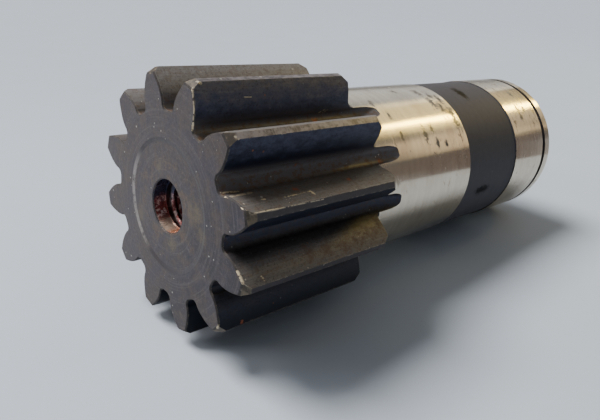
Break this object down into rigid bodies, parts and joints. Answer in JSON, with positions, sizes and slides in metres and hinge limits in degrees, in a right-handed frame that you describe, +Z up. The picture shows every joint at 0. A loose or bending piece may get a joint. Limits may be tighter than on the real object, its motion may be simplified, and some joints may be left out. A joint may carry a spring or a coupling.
{
  "type": "pinion shaft",
  "caption": "One-piece spur pinion on a stepped steel shaft, with two ground seats, a relieved middle, a ring groove and a tapped centre hole.",
  "frame": {"origin": "on the shaft axis, in the middle of the full-round stretch of the seat next to the toothed head", "axes": "+X along the shaft from the toothed head to the plain end, +Z up with a tooth gap pointing straight down"},
  "size_m": [0.2365, 0.1006, 0.1006],
  "materials": {
    "steel": "blackened teeth and relief, ground seats"
  },
  "bodies": {
    "root": {"pinion_shaft": "steel"}
  },
  "joints": []
}
